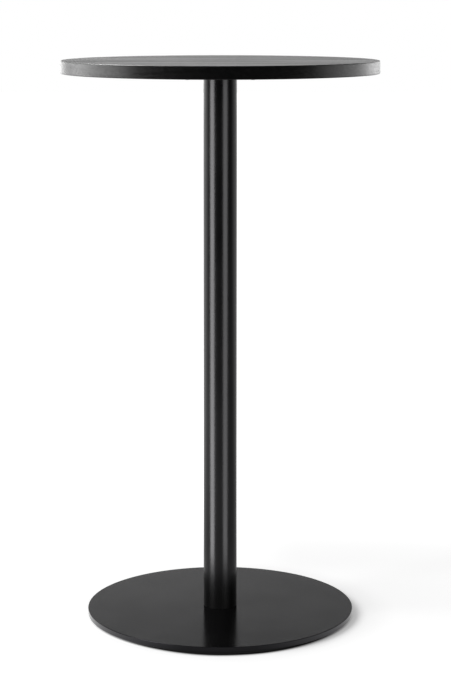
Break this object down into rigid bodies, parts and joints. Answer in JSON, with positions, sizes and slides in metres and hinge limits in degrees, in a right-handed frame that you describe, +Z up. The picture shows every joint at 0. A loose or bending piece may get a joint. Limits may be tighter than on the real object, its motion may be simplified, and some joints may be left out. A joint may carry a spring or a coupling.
{
  "type": "pub table",
  "caption": "Bar-height pedestal table: round veneered top on a steel column, screwed to a flat round steel base plate that stands on levelling glides.",
  "frame": {"origin": "on the floor, on the column's axis", "axes": "+Z up along the column; the table is turned about it, and two glides lie either side of +Y"},
  "size_m": [0.6, 0.6, 1.065],
  "materials": {
    "stained_oak": "black-stained oak veneer under matt lacquer",
    "stained_oak_edge": "black-stained solid oak lipping under matt lacquer",
    "board": "raw fibreboard",
    "powder_coat": "satin black powder coat",
    "powder_coat_base": "satin black powder coat",
    "bare_steel": "turned steel",
    "black_oxide": "black zinc plate",
    "zinc": "bright zinc plate",
    "brass": "plain brass",
    "nylon": "moulded black nylon"
  },
  "bodies": {
    "table": {"top_core": "board", "top_face_veneer": "stained_oak", "top_back_veneer": "stained_oak", "top_edge_lipping": "stained_oak_edge", "insert_nuts": "brass", "mounting_plate": "powder_coat", "mounting_screws": "black_oxide", "mounting_washers": "black_oxide", "column_tube": "powder_coat", "column_foot_plug": "bare_steel", "base_plate": "powder_coat_base", "base_screws": "zinc"},
    "glide_1_pad": {"glide_pad_1": "nylon"},
    "glide_1_screw": {"glide_screw_1": "zinc"},
    "glide_2_pad": {"glide_pad_2": "nylon"},
    "glide_2_screw": {"glide_screw_2": "zinc"},
    "glide_3_pad": {"glide_pad_3": "nylon"},
    "glide_3_screw": {"glide_screw_3": "zinc"},
    "glide_4_pad": {"glide_pad_4": "nylon"},
    "glide_4_screw": {"glide_screw_4": "zinc"}
  },
  "joints": [
    {"name": "glide_1_lower", "type": "slide", "parent": "table", "child": "glide_1_pad", "axis": [0, 0, -1], "range_m": [0, 0.004]},
    {"name": "glide_1_turn", "type": "hinge", "parent": "glide_1_pad", "child": "glide_1_screw", "pos_m": [0.15556, 0.15556, 0], "axis": [0, 0, -1], "range_deg": [0, 1152]},
    {"name": "glide_2_lower", "type": "slide", "parent": "table", "child": "glide_2_pad", "axis": [0, 0, -1], "range_m": [0, 0.004]},
    {"name": "glide_2_turn", "type": "hinge", "parent": "glide_2_pad", "child": "glide_2_screw", "pos_m": [-0.15556, 0.15556, 0], "axis": [0, 0, -1], "range_deg": [0, 1152]},
    {"name": "glide_3_lower", "type": "slide", "parent": "table", "child": "glide_3_pad", "axis": [0, 0, -1], "range_m": [0, 0.004]},
    {"name": "glide_3_turn", "type": "hinge", "parent": "glide_3_pad", "child": "glide_3_screw", "pos_m": [-0.15556, -0.15556, 0], "axis": [0, 0, -1], "range_deg": [0, 1152]},
    {"name": "glide_4_lower", "type": "slide", "parent": "table", "child": "glide_4_pad", "axis": [0, 0, -1], "range_m": [0, 0.004]},
    {"name": "glide_4_turn", "type": "hinge", "parent": "glide_4_pad", "child": "glide_4_screw", "pos_m": [0.15556, -0.15556, 0], "axis": [0, 0, -1], "range_deg": [0, 1152]}
  ],
  "couplings": [
    {"joint": "glide_1_turn", "follows": "glide_1_lower", "rad_per_m": 5026.5},
    {"joint": "glide_2_turn", "follows": "glide_2_lower", "rad_per_m": 5026.5},
    {"joint": "glide_3_turn", "follows": "glide_3_lower", "rad_per_m": 5026.5},
    {"joint": "glide_4_turn", "follows": "glide_4_lower", "rad_per_m": 5026.5}
  ]
}
